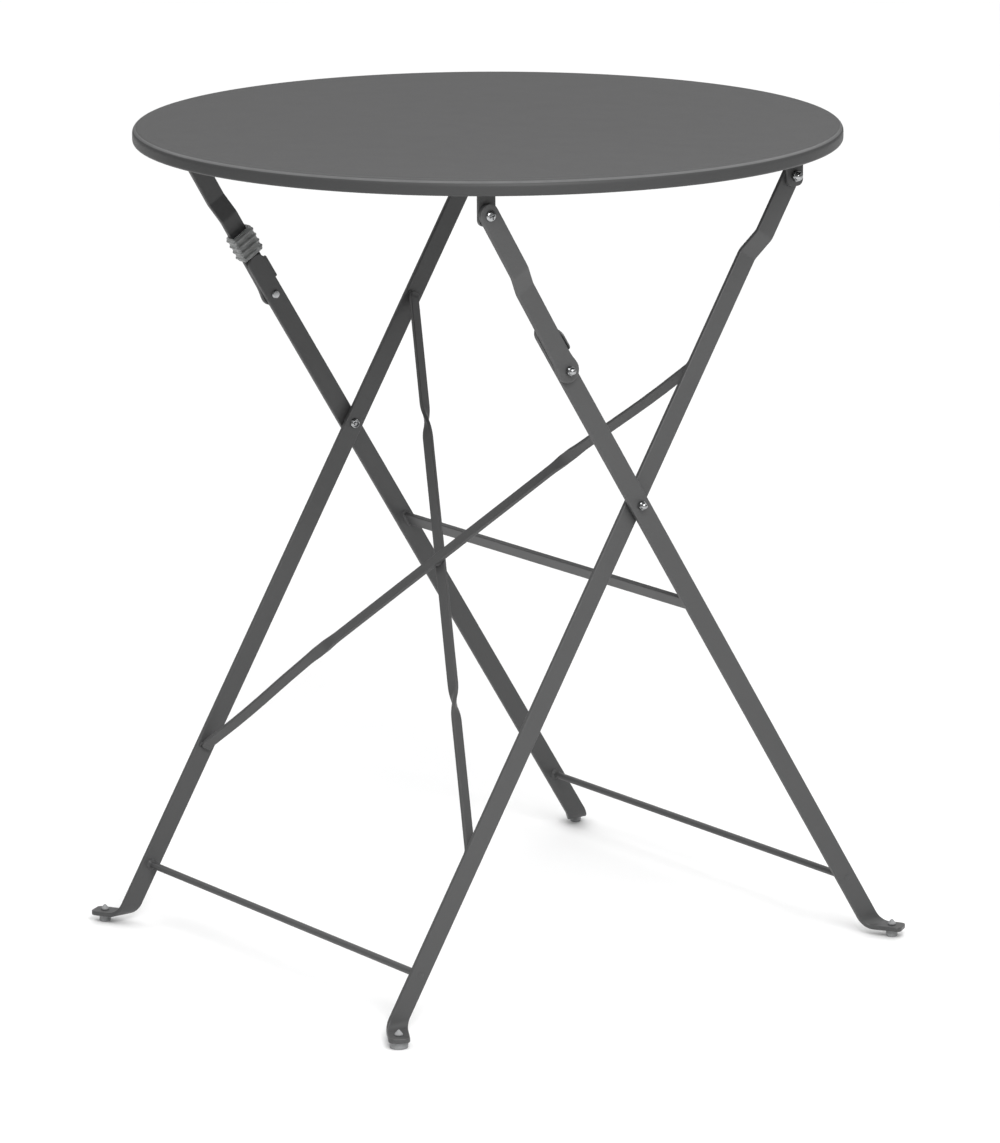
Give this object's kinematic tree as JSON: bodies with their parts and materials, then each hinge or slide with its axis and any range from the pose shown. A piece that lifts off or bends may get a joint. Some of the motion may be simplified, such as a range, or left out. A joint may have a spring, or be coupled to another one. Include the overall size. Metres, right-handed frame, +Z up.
{
  "type": "folding bistro table",
  "caption": "Round metal table on a scissor frame of flat bars, with jointed upper links, crossed braces, splayed foot plates and a sliding lock clip; folds short of flat.",
  "frame": {"origin": "on the floor under the middle of the round top", "axes": "+Z up; +X along the pivot axes, towards the side without the clip; +Y towards the end where the inner frame's legs meet the top"},
  "size_m": [0.6, 0.6, 0.71],
  "materials": {
    "top_coat": "anthracite powder coat, fine satin texture",
    "frame_coat": "anthracite powder coat, fine satin texture",
    "bright_zinc": "bright zinc-plated fasteners",
    "clear_nylon": "translucent natural nylon",
    "grey_glide": "grey moulded plastic"
  },
  "bodies": {
    "inner_frame": {"brace_front": "frame_coat", "brace_rear": "frame_coat", "cross_bolt_left": "bright_zinc", "cross_bolt_right": "bright_zinc", "cross_nut_left": "bright_zinc", "cross_nut_right": "bright_zinc", "cross_washer_left": "bright_zinc", "cross_washer_right": "bright_zinc", "inner_foot_rod": "frame_coat", "inner_glide_left": "grey_glide", "inner_glide_right": "grey_glide", "inner_leg_left": "frame_coat", "inner_leg_right": "frame_coat", "top_bolt_left": "bright_zinc", "top_bolt_right": "bright_zinc"},
    "outer_frame": {"knee_bolt_left": "bright_zinc", "knee_bolt_right": "bright_zinc", "knee_nut_left": "bright_zinc", "knee_nut_right": "bright_zinc", "outer_crossbar": "frame_coat", "outer_foot_rod": "frame_coat", "outer_glide_left": "grey_glide", "outer_glide_right": "grey_glide", "outer_leg_left": "frame_coat", "outer_leg_right": "frame_coat"},
    "link_left": {"link_nut_left": "bright_zinc", "link_screw_left": "bright_zinc", "upper_link_left": "frame_coat"},
    "link_right": {"link_nut_right": "bright_zinc", "link_screw_right": "bright_zinc", "upper_link_right": "frame_coat"},
    "top": {"leg_bracket_left": "frame_coat", "leg_bracket_right": "frame_coat", "link_bracket_left": "frame_coat", "link_bracket_right": "frame_coat", "table_top": "top_coat", "top_nut_left": "bright_zinc", "top_nut_right": "bright_zinc", "top_rail_left": "frame_coat", "top_rail_right": "frame_coat"},
    "lock_clip": {"lock_clip": "clear_nylon"}
  },
  "joints": [
    {"name": "frame_fold", "type": "hinge", "parent": "inner_frame", "child": "outer_frame", "pos_m": [0, 0, 0.417], "axis": [-1, 0, 0], "range_deg": [0, 55]},
    {"name": "knee_left_fold", "type": "hinge", "parent": "outer_frame", "child": "link_left", "pos_m": [0, -0.07769, 0.54061], "axis": [1, 0, 0], "range_deg": [0, 148.7]},
    {"name": "knee_right_fold", "type": "hinge", "parent": "outer_frame", "child": "link_right", "pos_m": [0, -0.07769, 0.54061], "axis": [1, 0, 0], "range_deg": [0, 148.7]},
    {"name": "top_fold", "type": "hinge", "parent": "link_right", "child": "top", "pos_m": [0, -0.1605, 0.6775], "axis": [-1, 0, 0], "range_deg": [0, 50.6]},
    {"name": "clip_slide", "type": "slide", "parent": "link_left", "child": "lock_clip", "axis": [0, -0.5176, 0.8556], "range_m": [0, 0.014]}
  ],
  "couplings": [
    {"joint": "knee_left_fold", "follows": "frame_fold", "ratio": 2.7034},
    {"joint": "knee_right_fold", "follows": "frame_fold", "ratio": 2.7034},
    {"joint": "top_fold", "follows": "frame_fold", "ratio": 0.9192}
  ]
}
